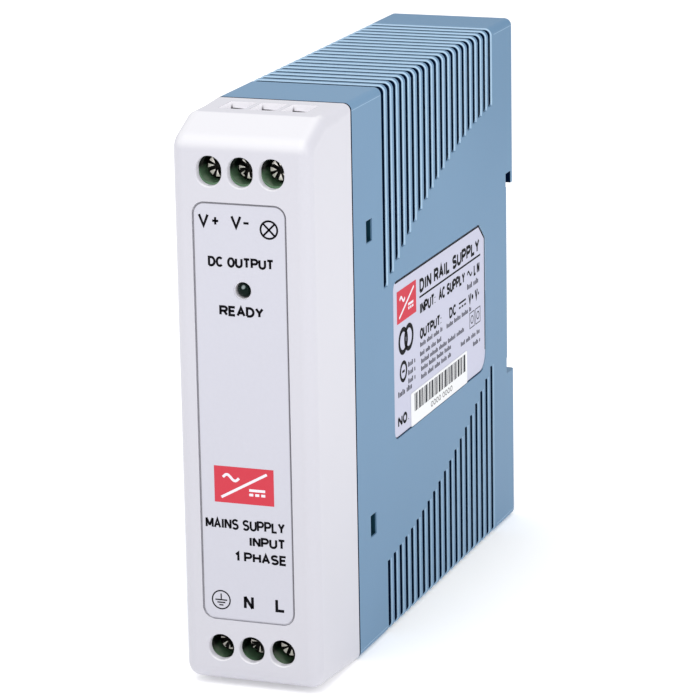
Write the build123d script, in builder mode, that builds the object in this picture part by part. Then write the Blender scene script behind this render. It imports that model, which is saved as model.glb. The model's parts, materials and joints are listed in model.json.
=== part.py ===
from build123d import *
import os

# A slim power supply that clips onto a 35 mm top-hat rail.
# X runs across the narrow width, Y from the front face (-) to the rail side (+), Z up.
# The origin is at the middle of the underside. All sizes are in millimetres.

# ---------------------------------------------------------------- driving dimensions

width, depth, height = 22.5, 100.0, 90.0
side, front, rear = width / 2, -depth / 2, depth / 2

# Shells
joint = -31.5              # plane where the front cover meets the housing
seam, seam_depth = 0.45, 0.7    # shadow line round that joint
wall = 1.6
face_wall = 1.3            # front wall of the cover
housing_corner = 1.2
cover_corner = 2.0         # front corners; they tighten to the housing corner at the joint
gap = 0.2                  # clearance between parts that slide or plug together
inner = side - wall        # half of the clear width inside

# Ventilation slots: a row above and a row below, at the same depths
slot_count, slot_pitch, slot_width = 20, 2.86, 1.65
first_slot = -17.0
slot_bevel = 0.2
upper_slot_ends = (57.6, 70.4, 76.7)    # heights at the first, middle and last slot
lower_slot_ends = (12.2, 18.6, 30.8)

# Snap windows in both side walls
window_y = (-25.8, -23.1)
window_z = ((18.5, 22.1), (66.6, 70.2))

# Seat for the 35 mm rail
seat = 46.0                # flat face that the rail lies against
seat_land_z = (30.0, 60.8) # heights of that face, with a relief above and below it
seat_relief = 0.3
ledge_z = 27.15            # underside of the seat
lip_z, groove_z = 61.1, 63.2
lip_y = 48.4               # front face of the fixed lip
upper_floor_y = 48.4       # rear wall of the cavity above the seat
lower_floor_y = 41.4       # rear wall of the cavity beside the latch

# Latch
latch_slot_x, latch_mouth_x = 6.5, 5.0
latch_slot_y = (46.2, 48.7)
latch_shoulder_z = 25.3
spring_x, spring_y, spring_r, spring_wire = 0.0, 46.6, 1.35, 0.45
spring_z = (9.6, 19.6)
spring_turns = 7
latch_foot_z, tab_foot_z = 4.4, 3.4     # lower ends, clear of the underside when the latch is pulled
latch_pry_z = (5.0, 7.0)                # slot for a screwdriver

# Front cover
brow_y, brow_z = -43.2, 87.0       # slope between the top and the front
brow_r, brow_top_r, chin_r = 3.0, 2.0, 2.5
chin_y, chin_z = -38.0, 1.0        # slight upward slope of the underside
panel_at, panel_x, panel_z = -0.3, 15.3, (11.1, 77.5)    # centre, width and heights of the front label
panel_r, panel_recess = 2.0, 0.3
label_gap, label_film = 0.15, 0.2

# Terminals: three screws in a row at the top and three at the bottom
pole_pitch = 5.08
poles = (-pole_pitch, 0.0, pole_pitch)
output_axis_z, input_axis_z = 82.2, 6.5
entry_x, entry_y = 4.2, (-40.4, -34.6)       # mouths of the wire entries
entry_throat_x, entry_throat_y = 3.7, (-39.6, -35.0)
terminal_x = 7.8
terminal_y = (-48.5, -33.4)
terminal_z = (-7.7, 3.8)                     # measured from the screw axis, towards the entry
screw_head_y = (-46.0, -44.55)
screw_head_r, screw_shank_r = 1.85, 1.3
screw_tip_y = -39.3
driver_slot, driver_cross, driver_depth = (5.0, 0.6), (0.6, 2.8), 0.8
driver_tick, driver_tick_depth = (3.1, 0.32), 0.4
clamp_travel = 2.2
clamp_x, clamp_wall = 1.9, 0.55
clamp_front_y, clamp_rear_y = (-41.4, -40.4), (-35.4, -34.6)
busbar_y = (-39.2, -38.4)
screw_angles = (20, -35, 64, 8, 50, -22)

# Status light
light_z, light_hole_r, light_r = 64.0, 1.3, 1.2

# Boards
front_board_y = (-33.2, -31.6)
board_x = (-7.6, -6.0)             # main board, component side towards +X
board_y = (-31.2, 41.0)
board_z = (3.5, 86.5)
header_z = tuple(35.0 + 2.54 * n for n in range(8))
header_x = -4.7

# Side label
label_y, label_z = (-13.4, 33.9), (31.4, 57.2)
cut_y, cut_z = 3.2, 2.8            # corner cut off at the top rear
label_recess, side_film, sticker_film = 0.3, 0.15, 0.1
sticker_y, sticker_z = (-5.4, 23.7), (31.25, 36.9)


# ---------------------------------------------------------------- shared shapes

def block(x, y, z, mode=Mode.ADD):
    """A box between the given low and high limits on each axis."""
    with Locations(((x[0] + x[1]) / 2, (y[0] + y[1]) / 2, (z[0] + z[1]) / 2)):
        Box(x[1] - x[0], y[1] - y[0], z[1] - z[0], mode=mode)


def around(middle, half):
    """Low and high limits either side of a middle value."""
    return (middle - half, middle + half)


def rod(axis, at, radius, span, mode=Mode.ADD):
    """A round bar along one axis; `at` gives the other two coordinates in X, Y, Z order."""
    middle = sum(span) / 2
    places = {
        "x": ((middle, *at), (0, 90, 0)),
        "y": ((at[0], middle, at[1]), (90, 0, 0)),
        "z": ((*at, middle), (0, 0, 0)),
    }
    with Locations(Location(*places[axis])):
        Cylinder(radius, span[1] - span[0], mode=mode)


def save(part, name):
    """Name a finished piece and write it as its own file."""
    part.label = name
    export_step(part, f"parts/{name}.step")


os.makedirs("parts", exist_ok=True)


# ---------------------------------------------------------------- housing

slot_lines = [first_slot + slot_pitch * n for n in range(slot_count)]


def slot_end(y, ends):
    """Height where the slot at depth y stops, on the smooth curve through three heights."""
    t = (y - slot_lines[0]) / (slot_lines[-1] - slot_lines[0])
    return ends[0] * (1 - t) * (1 - 2 * t) + 4 * ends[1] * t * (1 - t) + ends[2] * t * (2 * t - 1)


def slot_groove(y, end, edge):
    """Bevelled mouth of one slot, from a side wall over the edge plane and down the other side."""
    flare = slot_width / 2 + slot_bevel
    with BuildPart(mode=Mode.PRIVATE) as groove:
        with BuildLine(Plane.XZ.offset(-y)) as route:
            FilletPolyline((side, end), (side, edge), (-side, edge), (-side, end),
                           radius=housing_corner)
        with BuildSketch(Plane.XY.offset(end)) as mouth:
            with BuildLine():
                Polyline((side + 0.05, y - flare - 0.05), (side + 0.05, y + flare + 0.05),
                         (side - slot_bevel, y + slot_width / 2),
                         (side - slot_bevel, y - slot_width / 2), close=True)
            make_face()
        sweep(sections=mouth.sketch, path=route.line)
    return groove.part


grooves = [slot_groove(y, slot_end(y, upper_slot_ends), height) for y in slot_lines]
grooves += [slot_groove(y, slot_end(y, lower_slot_ends), 0) for y in slot_lines]

# Side label, drawn with Y across and Z up: one corner cut off, one with a large radius
with BuildSketch() as label_outline:
    with BuildLine():
        Polyline((label_y[0], label_z[0]), (label_y[1], label_z[0]), (label_y[1], label_z[1] - cut_z),
                 (label_y[1] - cut_y, label_z[1]), (label_y[0], label_z[1]), close=True)
    make_face()
    fillet(label_outline.vertices().group_by(Axis.X)[0], 1.3)
    fillet(label_outline.vertices().filter_by(lambda v: v.X > 20 and v.Y > label_z[1] - 5), 0.8)
    fillet(label_outline.vertices().filter_by(lambda v: v.X > 30 and v.Y < label_z[0] + 1), 3.0)

with BuildPart() as housing:
    with BuildSketch(Plane.XZ.offset(-joint)):
        with Locations((0, height / 2)):
            RectangleRounded(width, height, housing_corner)
    extrude(amount=joint - rear)
    fillet(housing.faces().sort_by(Axis.Y)[-1].edges(), 0.7)

    # Seat for the rail, with the fixed lip above it
    with BuildSketch(Plane.YZ.offset(-side)):
        with BuildLine():
            Polyline((seat - seat_relief, ledge_z), (rear + 1, ledge_z), (rear + 1, lip_z), (lip_y, lip_z),
                     (lip_y, groove_z), (seat - seat_relief, groove_z),
                     (seat - seat_relief, seat_land_z[1]), (seat, seat_land_z[1]),
                     (seat, seat_land_z[0]), (seat - seat_relief, seat_land_z[0]), close=True)
        make_face()
    extrude(amount=width, mode=Mode.SUBTRACT)

    # Cavity, open at the front, stepped round the seat and the latch block
    with BuildSketch(Plane.YZ.offset(-inner)):
        with BuildLine():
            Polyline((joint - 1, wall), (lower_floor_y, wall), (lower_floor_y, ledge_z + wall),
                     (seat - wall, ledge_z + wall), (seat - wall, groove_z + wall),
                     (upper_floor_y, groove_z + wall), (upper_floor_y, height - wall),
                     (joint - 1, height - wall), close=True)
        make_face()
    extrude(amount=2 * inner, mode=Mode.SUBTRACT)

    # Ventilation slots, cut through both sides and over the top or the bottom
    with BuildSketch(Plane.YZ.offset(-side - 1)):
        for y in slot_lines:
            low, high = slot_end(y, upper_slot_ends), height + 2
            with Locations((y, (low + high) / 2)):
                SlotOverall(high - low, slot_width, rotation=90)
            low, high = -2, slot_end(y, lower_slot_ends)
            with Locations((y, (low + high) / 2)):
                SlotOverall(high - low, slot_width, rotation=90)
    extrude(amount=width + 2, mode=Mode.SUBTRACT)
    add(grooves, mode=Mode.SUBTRACT)

    # Snap windows
    for span in window_z:
        block((-side - 1, side + 1), window_y, span, Mode.SUBTRACT)

    # Shallow recess for the side label
    with BuildSketch(Plane.YZ.offset(side - label_recess)):
        add(label_outline.sketch)
        offset(amount=0.25, kind=Kind.ARC)
    extrude(amount=1, mode=Mode.SUBTRACT)

    # Groove that holds the rear edge of the main board
    for x in (around(board_x[0] - 0.5, 0.4), around(board_x[1] + 0.5, 0.4)):
        block(x, (board_y[1] - 1.5, seat - wall + 0.2), (ledge_z + 4, groove_z - 2))

    # Channel for the latch and its spring
    block((-latch_slot_x, latch_slot_x), latch_slot_y, (-1, latch_shoulder_z), Mode.SUBTRACT)
    block((-latch_mouth_x, latch_mouth_x), (latch_slot_y[0], rear + 1), (-1, ledge_z + 1), Mode.SUBTRACT)
    block(around(spring_x, 1.9), (spring_y - 2.0, latch_slot_y[0] + 0.1), (spring_z[0], 22.0),
          Mode.SUBTRACT)
save(housing.part, "housing")


# ---------------------------------------------------------------- front cover

with BuildPart() as front_cover:
    with BuildSketch(Plane.YZ.offset(-side)) as cover_profile:
        with BuildLine():
            Polyline((joint - seam, 0), (chin_y, 0), (front, chin_z), (front, brow_z), (brow_y, height),
                     (joint - seam, height), close=True)
        make_face()
        fillet(cover_profile.vertices().filter_by(lambda v: abs(v.Y - chin_z) < 0.1), chin_r)
        fillet(cover_profile.vertices().filter_by(lambda v: abs(v.Y - brow_z) < 0.1), brow_r)
        fillet(cover_profile.vertices().filter_by(lambda v: abs(v.X - brow_y) < 0.1), brow_top_r)
    extrude(amount=width)
    flanks = front_cover.faces().filter_by(Axis.X).edges()
    fillet(flanks.filter_by(lambda e: e.center().Y < joint - seam - 0.1), cover_corner)

    # Long edges tighten towards the joint, where they match the housing
    for y, radius in ((joint - seam, housing_corner), (chin_y, cover_corner)):
        with BuildSketch(Plane.XZ.offset(-y)):
            with Locations((0, height / 2)):
                RectangleRounded(width, height, radius)
    loft()

    # Cavity, open at the rear
    with BuildSketch(Plane.YZ.offset(-inner)):
        with BuildLine():
            Polyline((joint + 1, wall), (chin_y, wall), (front + face_wall, wall + chin_z),
                     (front + face_wall, brow_z - 0.9), (brow_y - 0.4, height - wall),
                     (joint + 1, height - wall), close=True)
        make_face()
    extrude(amount=2 * inner, mode=Mode.SUBTRACT)

    # Walls round the wire entries, then the entries themselves
    for floor, lid, mouth, deep in ((output_axis_z + terminal_z[1] + gap, height - wall / 2, height, -1),
                                    (wall / 2, input_axis_z - terminal_z[1] - gap, 0.0, 1)):
        block((-terminal_x, terminal_x), (entry_y[0] - 0.8, entry_y[1] + 0.8), (floor, lid))
        for x in poles:
            with BuildSketch(Plane.XY.offset(mouth)) as opening:
                with Locations((x, sum(entry_y) / 2)):
                    Rectangle(entry_x, entry_y[1] - entry_y[0])
            extrude(amount=deep * 1.2, mode=Mode.SUBTRACT)
            with BuildSketch(Plane.XY.offset(mouth)) as throat:
                with Locations((x, sum(entry_throat_y) / 2)):
                    Rectangle(entry_throat_x, entry_throat_y[1] - entry_throat_y[0])
            extrude(amount=deep * 5, mode=Mode.SUBTRACT)

    # Holes for the screwdriver, with softened rims, and for the status light
    with BuildSketch(Plane.XZ.offset(-front)):
        for x in poles:
            with Locations((x, output_axis_z)):
                SlotOverall(4.7, 4.1, rotation=90)
            with Locations((x, input_axis_z)):
                Circle(2.1)
    extrude(amount=-(face_wall + 1.0), mode=Mode.SUBTRACT)
    rims = front_cover.faces().filter_by(Axis.Y).sort_by(Axis.Y)[0].inner_wires()
    fillet([edge for rim in rims for edge in rim.edges()], 0.25)
    rod("y", (0, light_z), light_hole_r, (front - 1, front + face_wall + 1), Mode.SUBTRACT)

    # Recess for the front label
    with BuildSketch(Plane.XZ.offset(-front)):
        with Locations((panel_at, sum(panel_z) / 2)):
            RectangleRounded(panel_x, panel_z[1] - panel_z[0], panel_r)
    extrude(amount=-panel_recess, mode=Mode.SUBTRACT)

    # Rim that meets the housing behind the shadow line, and the tongue that locates it inside
    tongue = inner - gap
    for half, span in ((side - seam_depth, (joint - 1.5, joint)), (tongue, (joint, joint + 2.5))):
        edge = height / 2 - side + half
        with BuildSketch(Plane.XZ.offset(-span[0])):
            with Locations((0, height / 2)):
                Rectangle(2 * half, 2 * edge)
                Rectangle(2 * (tongue - 1.0), 2 * (height / 2 - side + tongue - 1.0), mode=Mode.SUBTRACT)
        extrude(amount=span[0] - span[1])

    # Snap arms with barbs that stand in the housing's windows
    for sign in (-1, 1):
        for span in window_z:
            grip = (span[0] + gap, span[1] - gap)
            arm = sorted((sign * (tongue - 1.0), sign * tongue))
            barb = sorted((sign * (tongue - 0.1), sign * (side - 0.45)))
            block(arm, (joint + 2.4, window_y[1] - 0.9), grip)
            block(barb, (window_y[0] + 0.1, window_y[0] + 1.0), grip)
save(front_cover.part, "front_cover")


# ---------------------------------------------------------------- labels

with BuildPart() as front_label:
    with BuildSketch(Plane.XZ.offset(-(front + panel_recess))):
        with Locations((panel_at, sum(panel_z) / 2)):
            RectangleRounded(panel_x - 2 * label_gap, panel_z[1] - panel_z[0] - 2 * label_gap,
                             panel_r - label_gap)
        with Locations((0, light_z)):
            Circle(light_hole_r + 0.15, mode=Mode.SUBTRACT)
    extrude(amount=label_film)
save(front_label.part, "front_label")

with BuildPart() as side_label:
    with BuildSketch(Plane.YZ.offset(side - label_recess)):
        add(label_outline.sketch)
    extrude(amount=side_film)
save(side_label.part, "side_label")

with BuildPart() as serial_sticker:
    with BuildSketch(Plane.YZ.offset(side - label_recess + side_film)):
        with Locations((sum(sticker_y) / 2, sum(sticker_z) / 2)):
            RectangleRounded(sticker_y[1] - sticker_y[0], sticker_z[1] - sticker_z[0], 0.3)
    extrude(amount=sticker_film)
save(serial_sticker.part, "serial_sticker")


# ---------------------------------------------------------------- terminals

def upright(axis_z, entry, low, high):
    """Heights measured from a screw axis towards its wire entry, as a low and high pair."""
    return tuple(sorted((axis_z + entry * low, axis_z + entry * high)))


def terminal_body(axis_z, entry):
    """Three-pole moulding with a screw hole, a clamp chamber and a wire entry for each pole."""
    with BuildPart() as body:
        block((-terminal_x, terminal_x), terminal_y, upright(axis_z, entry, *terminal_z))
        for x in poles:
            rod("y", (x, axis_z), 2.1, (terminal_y[0] - 1, screw_head_y[1] + 0.1), Mode.SUBTRACT)
            rod("y", (x, axis_z), screw_shank_r + 0.3, (terminal_y[0], -43), Mode.SUBTRACT)
            block(around(x, clamp_x + gap), (clamp_front_y[0] - clamp_travel - gap, clamp_rear_y[1] + gap),
                  upright(axis_z, entry, -3.2, 3.2), Mode.SUBTRACT)
            block(around(x, entry_throat_x / 2), entry_throat_y, upright(axis_z, entry, 3, 5),
                  Mode.SUBTRACT)
            block(around(x, 1.1), busbar_y, upright(axis_z, entry, -6.5, 3.2), Mode.SUBTRACT)
            block(around(x, 0.5), (busbar_y[0], terminal_y[1] + 1), upright(axis_z, entry, -6.5, -5.7),
                  Mode.SUBTRACT)
    return body.part


def terminal_pins(axis_z, entry):
    """Contact strips of the three poles, each bent back into its solder pin."""
    with BuildPart() as pins:
        for x in poles:
            block(around(x, 1.1), busbar_y, upright(axis_z, entry, -6.5, 3.2))
            block(around(x, 0.5), (busbar_y[0], front_board_y[1] + 0.6), upright(axis_z, entry, -6.5, -5.7))
    return pins.part


def terminal_screw(x, axis_z, angle):
    """Screw with a combined slot and cross in its head, and four shallow ticks between their arms."""
    with BuildPart() as screw:
        rod("y", (x, axis_z), screw_head_r, screw_head_y)
        rims = screw.edges().filter_by(GeomType.CIRCLE)
        fillet(rims.sort_by(Axis.Y)[0], 0.35)
        rod("y", (x, axis_z), screw_shank_r, (screw_head_y[1], screw_tip_y))
        chamfer(screw.edges().filter_by(GeomType.CIRCLE).sort_by(Axis.Y)[-1], 0.3)
        with BuildSketch(Plane.XZ.offset(-screw_head_y[0])):
            with Locations(Location((x, axis_z), angle)):
                Rectangle(*driver_slot)
                Rectangle(*driver_cross)
        extrude(amount=-driver_depth, mode=Mode.SUBTRACT)
        with BuildSketch(Plane.XZ.offset(-screw_head_y[0])):
            with Locations(Location((x, axis_z), angle)):
                for turn in (45, 135):
                    Rectangle(*driver_tick, rotation=turn)
        extrude(amount=-driver_tick_depth, mode=Mode.SUBTRACT)
    return screw.part


def wire_clamp(x, axis_z):
    """Rising clamp: a square ring round the wire, threaded on its screw."""
    with BuildPart() as clamp:
        block(around(x, clamp_x), (clamp_front_y[0], clamp_rear_y[1]), around(axis_z, 3.0))
        block(around(x, clamp_x - clamp_wall), (clamp_front_y[1], clamp_rear_y[0]), around(axis_z, 4.0),
              Mode.SUBTRACT)
        rod("y", (x, axis_z), screw_shank_r + 0.05, (clamp_front_y[0] - 1, clamp_front_y[1] + 1),
            Mode.SUBTRACT)
    return clamp.part


for name, axis_z, entry, angles in (("output", output_axis_z, 1, screw_angles[:3]),
                                    ("input", input_axis_z, -1, screw_angles[3:])):
    save(terminal_body(axis_z, entry), f"{name}_terminal_body")
    save(terminal_pins(axis_z, entry), f"{name}_terminal_pins")
    for n, x in enumerate(poles):
        save(terminal_screw(x, axis_z, angles[n]), f"{name}_screw_{n + 1}")
        save(wire_clamp(x, axis_z), f"{name}_clamp_{n + 1}")


# ---------------------------------------------------------------- boards and status light

with BuildPart() as front_board:
    block((-8.2, 8.2), front_board_y, (3.5, 86.5))
    for axis_z, entry in ((output_axis_z, 1), (input_axis_z, -1)):
        for x in poles:
            block(around(x, 0.6), (-34, -31), upright(axis_z, entry, -6.6, -5.6), Mode.SUBTRACT)
    for z in header_z:
        rod("y", (header_x, z), 0.5, (-34, -31), Mode.SUBTRACT)
    for x in (-1.27, 1.27):
        rod("y", (x, light_z), 0.5, (-34, -31), Mode.SUBTRACT)
save(front_board.part, "front_board")

with BuildPart() as main_board:
    block(board_x, board_y, board_z)
    for z in header_z:
        rod("x", (-29.4, z), 0.5, (-9, -5), Mode.SUBTRACT)
save(main_board.part, "main_board")

with BuildPart() as board_header:
    block((board_x[1], header_x + 1.2), (-31.0, -29.9), (header_z[0] - 1.27, header_z[-1] + 1.27))
    for z in header_z:
        rod("y", (header_x, z), 0.4, (-32, -29), Mode.SUBTRACT)
save(board_header.part, "board_header")

with BuildPart() as header_pins:
    for z in header_z:
        block(around(header_x, 0.25), (-33.7, -29.15), around(z, 0.25))
        block((-8.0, header_x + 0.25), (-29.65, -29.15), around(z, 0.25))
save(header_pins.part, "header_pins")

with BuildPart() as power_light:
    rod("y", (0, light_z), light_r, (front + light_r, -44.4))
    with Locations((0, front + light_r, light_z)):
        Sphere(light_r)
    rod("y", (0, light_z), light_r + 0.5, (-45.4, -44.4))
save(power_light.part, "power_light")

with BuildPart() as light_spacer:
    rod("y", (0, light_z), 2.2, (-44.4, front_board_y[0]))
    for x in (-1.27, 1.27):
        rod("y", (x, light_z), 0.45, (-46, -33), Mode.SUBTRACT)
save(light_spacer.part, "light_spacer")

with BuildPart() as light_leads:
    for x in (-1.27, 1.27):
        block(around(x, 0.25), (-44.4, front_board_y[1] + 0.8), around(light_z, 0.25))
save(light_leads.part, "light_leads")

with BuildPart() as insulation_sheet:
    block((-8.3, -8.05), (-28.0, 39.0), (4.5, 85.5))
save(insulation_sheet.part, "insulation_sheet")


# ---------------------------------------------------------------- components on the main board

deck = board_x[1]          # component side of the main board

# Middles of the round components, as the two coordinates across their own axis
fuse_at = (-3.4, 11.0)             # X and Z
disc_at = (-0.2, 11.0)             # X and Z
disc_r, disc_leads = 4.6, (8.5, 13.5)
choke_at, choke_r, choke_hole = (28.0, 13.5), 6.0, 3.2    # Y and Z
bulk_at, bulk_r = (0.4, 30.0), 6.05                       # X and Z
inductor_at, inductor_r = (13.0, 70.0), 2.2               # Y and Z
fixing_at = (4.5, 29.0)            # X and Y of the screw through the heatsink
diode_at, diode_r = (-2.6, 27.0), 2.6                     # X and Y
lead = 0.3                         # half the width of a component lead


def can(y, z, radius, length, name):
    """Electrolytic capacitor standing on the board: a metal can in a printed sleeve."""
    with BuildPart() as metal:
        for place in zip(y, z):
            rod("x", place, radius - 0.2, (deck + 0.5, deck + length))
    save(metal.part, f"{name}_cans")
    with BuildPart() as sleeve:
        for place in zip(y, z):
            rod("x", place, radius, (deck, deck + length - 0.4))
            rod("x", place, radius - 0.2, (deck + 0.5, deck + length), Mode.SUBTRACT)
    save(sleeve.part, f"{name}_sleeves")


with BuildPart() as fuse_tube:
    rod("y", fuse_at, 1.8, (-25.0, -17.0))
save(fuse_tube.part, "fuse_tube")

with BuildPart() as fuse_caps:
    for span, wire in (((-27.0, -25.0), -28.0), ((-17.0, -15.0), -14.0)):
        rod("y", fuse_at, 2.0, span)
        nearest = span[0] if wire < span[0] else span[1]
        block(around(fuse_at[0], lead), sorted((wire, nearest)), around(fuse_at[1], lead))
        block((deck, fuse_at[0] + lead), around(wire, lead), around(fuse_at[1], lead))
save(fuse_caps.part, "fuse_caps")

with BuildPart() as inrush_thermistor:
    rod("y", disc_at, disc_r, (-10.2, -6.2))
    for z in disc_leads:
        block((deck, -2.0), around(-8.2, lead), around(z, lead))
save(inrush_thermistor.part, "inrush_thermistor")

with BuildPart() as surge_varistor:
    rod("y", disc_at, disc_r, (-3.6, 0.0))
    for z in disc_leads:
        block((deck, -2.0), around(-1.8, lead), around(z, lead))
save(surge_varistor.part, "surge_varistor")

with BuildPart() as filter_capacitor:
    block((deck, 6.0), (4.0, 17.0), (7.5, 14.0))
    fillet(filter_capacitor.edges().filter_by(Axis.X), 0.5)
save(filter_capacitor.part, "filter_capacitor")

with BuildPart() as choke_core:
    rod("x", choke_at, choke_r, (-4.0, 2.0))
    rod("x", choke_at, choke_hole, (-5.0, 3.0), Mode.SUBTRACT)
save(choke_core.part, "choke_core")

with BuildPart() as choke_windings:
    rod("x", choke_at, choke_r + 0.9, (-4.9, 2.9))
    rod("x", choke_at, choke_hole - 0.9, (-6.0, 4.0), Mode.SUBTRACT)
    rod("x", choke_at, choke_r, (-4.0, 2.0), Mode.SUBTRACT)
    rod("x", choke_at, choke_hole, (-4.0, 2.0))
    rod("x", choke_at, choke_hole - 0.9, (-6.0, 4.0), Mode.SUBTRACT)
    block((-6.0, 4.0), (20.0, 36.0), around(choke_at[1], 1.5), Mode.SUBTRACT)
save(choke_windings.part, "choke_windings")

with BuildPart() as bridge_rectifier:
    block((deck, -2.6), (-25.0, -17.0), (20.0, 26.5))
    fillet(bridge_rectifier.edges().filter_by(Axis.X), 0.4)
save(bridge_rectifier.part, "bridge_rectifier")

with BuildPart() as bulk_capacitor_can:
    rod("y", bulk_at, bulk_r, (-13.2, 12.2))
    chamfer(bulk_capacitor_can.edges().filter_by(GeomType.CIRCLE), 0.5)
save(bulk_capacitor_can.part, "bulk_capacitor_can")

with BuildPart() as bulk_capacitor_sleeve:
    rod("y", bulk_at, bulk_r + 0.2, (-12.6, 11.6))
    rod("y", bulk_at, bulk_r, (-14.0, 13.0), Mode.SUBTRACT)
save(bulk_capacitor_sleeve.part, "bulk_capacitor_sleeve")

with BuildPart() as transformer_core:
    block((-4.5, 8.5), (-4.0, 16.0), (44.5, 56.5))
    for z in ((43.0, 48.3), (52.7, 58.0)):
        block((-2.0, 6.0), (-1.0, 13.0), z, Mode.SUBTRACT)
    block((-2.0, 6.0), (-1.0, 2.4), (43.0, 58.0), Mode.SUBTRACT)
    block((-2.0, 6.0), (9.6, 13.0), (43.0, 58.0), Mode.SUBTRACT)
save(transformer_core.part, "transformer_core")

with BuildPart() as transformer_bobbin:
    block((-1.9, 5.9), (1.7, 10.3), (47.6, 53.4))
    for x in ((-1.9, -1.1), (5.1, 5.9)):
        block(x, (-0.9, 12.9), (42.5, 58.5))
    block((-2.0, 6.0), (2.4, 9.6), (48.3, 52.7), Mode.SUBTRACT)
save(transformer_bobbin.part, "transformer_bobbin")

with BuildPart() as transformer_winding:
    block((-1.1, 5.1), (-0.5, 12.5), (43.0, 58.0))
    fillet(transformer_winding.edges().filter_by(Axis.X), 2.0)
    block((-2.0, 6.0), (1.7, 10.3), (47.6, 53.4), Mode.SUBTRACT)
save(transformer_winding.part, "transformer_winding")

with BuildPart() as heatsink:
    block((deck, 8.8), (20.0, 38.0), (34.0, 36.0))
    block((deck + 2, 8.8), (20.0, 22.0), (36.0, 44.0))
    block((deck + 2, 8.8), (36.0, 38.0), (36.0, 44.0))
    rod("z", fixing_at, 1.3, (33.0, 37.0), Mode.SUBTRACT)
save(heatsink.part, "heatsink")

with BuildPart() as switching_transistor:
    block((-3.0, 7.0), (25.0, 33.0), (36.0, 39.2))
    rod("z", fixing_at, 1.6, (35.0, 40.0), Mode.SUBTRACT)
    for y in (26.7, 29.0, 31.3):
        block((deck, -3.0), around(y, 0.3), (37.0, 37.5))
save(switching_transistor.part, "switching_transistor")

with BuildPart() as heatsink_screw:
    rod("z", fixing_at, 1.2, (32.5, 39.2))
    rod("z", fixing_at, 2.4, (39.2, 41.0))
    block((2.0, 7.0), around(fixing_at[1], 0.35), (40.3, 42.0), Mode.SUBTRACT)
save(heatsink_screw.part, "heatsink_screw")

with BuildPart() as output_rectifier:
    rod("z", diode_at, diode_r, (60.0, 69.0))
    for z, end in ((58.5, 60.0), (70.5, 69.0)):
        block((-3.0, -2.2), around(diode_at[1], 0.4), sorted((z, end)))
        block((deck, -2.2), around(diode_at[1], 0.4), around(z, 0.4))
save(output_rectifier.part, "output_rectifier")

can((-15.0, -3.5), (68.0, 68.0), 5.0, 15.0, "output_capacitor")

with BuildPart() as inductor_core:
    for span, radius in (((deck, deck + 1.5), 4.5), ((deck + 1.5, deck + 9.5), inductor_r),
                         ((deck + 9.5, deck + 11), 4.5)):
        rod("x", inductor_at, radius, span)
save(inductor_core.part, "inductor_core")

with BuildPart() as inductor_winding:
    rod("x", inductor_at, inductor_r + 1.9, (deck + 1.5, deck + 9.5))
    rod("x", inductor_at, inductor_r, (deck + 1, deck + 10), Mode.SUBTRACT)
save(inductor_winding.part, "inductor_winding")

with BuildPart() as optocoupler:
    block((deck + 0.5, deck + 4.0), (-22.0, -17.4), (47.0, 53.4))
    for y in (-21.0, -18.4):
        for z in (46.6, 53.8):
            block((deck, deck + 2.3), around(y, 0.3), around(z, 0.4))
save(optocoupler.part, "optocoupler")

with BuildPart() as control_chip:
    block((deck + 0.5, deck + 3.8), (-25.0, -15.5), (55.4, 61.6))
    for n in range(4):
        for z in (55.0, 62.0):
            block((deck, deck + 2.2), around(-24.1 + 2.54 * n, 0.3), around(z, 0.4))
save(control_chip.part, "control_chip")

with BuildPart() as safety_capacitor:
    rod("y", (-1.0, 39.5), 3.6, (-22.0, -19.0))
    for z in (37.5, 41.5):
        block((deck, -2.0), around(-20.5, lead), around(z, lead))
save(safety_capacitor.part, "safety_capacitor")

with BuildPart() as snubber_resistors:
    for y in (-11.0, -7.5):
        rod("z", (-4.3, y), 1.3, (44.0, 52.0))
        for z, end in ((42.6, 44.0), (53.4, 52.0)):
            block((-4.55, -4.05), around(y, 0.25), sorted((z, end)))
            block((deck, -4.05), around(y, 0.25), around(z, 0.25))
save(snubber_resistors.part, "snubber_resistors")


# ---------------------------------------------------------------- rail latch

with BuildPart() as rail_latch:
    shoulder = latch_slot_x - gap
    tab = latch_mouth_x - gap
    low_y = latch_slot_y[0] + gap
    block((-shoulder, shoulder), (low_y, latch_slot_y[1] - gap),
          (latch_foot_z, latch_shoulder_z - gap))
    block((-tab, tab), (low_y, rear - 0.3), (tab_foot_z, ledge_z - 0.4))
    # Hook behind the rail's lower edge, sloped so that it snaps over
    with BuildSketch(Plane.YZ.offset(-tab)):
        with BuildLine():
            Polyline((47.4, ledge_z - 1), (rear - 0.3, ledge_z - 1), (rear - 0.3, 28.2), (48.4, 29.7),
                     (47.4, 29.7), close=True)
        make_face()
    extrude(amount=2 * tab)
    # Window for the spring and slot for a screwdriver
    block(around(spring_x, 1.9), (low_y - 1, 48.3), (spring_z[0] - gap, spring_z[1]), Mode.SUBTRACT)
    block((-2.6, 2.6), (low_y - 1, rear + 1), latch_pry_z, Mode.SUBTRACT)
    # Grip ridges on the rear of the tab
    for z in (21.5, 23.0, 24.5):
        block((-3.5, 3.5), (rear - 0.7, rear), around(z, 0.3), Mode.SUBTRACT)
save(rail_latch.part, "rail_latch")

with BuildPart() as latch_spring:
    travel = spring_z[1] - spring_z[0] - 2 * spring_wire - 0.1
    with BuildLine() as coil:
        Helix(pitch=travel / spring_turns, height=travel, radius=spring_r,
              center=(spring_x, spring_y, spring_z[0] + spring_wire / 2 + 0.25))
    with BuildSketch(Plane(origin=coil.line @ 0, z_dir=coil.line % 0)):
        Circle(spring_wire / 2)
    sweep(path=coil.line, is_frenet=True)
save(latch_spring.part, "latch_spring")
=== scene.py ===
import json
import math

import bmesh
import bpy
from mathutils import Matrix, Vector


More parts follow.
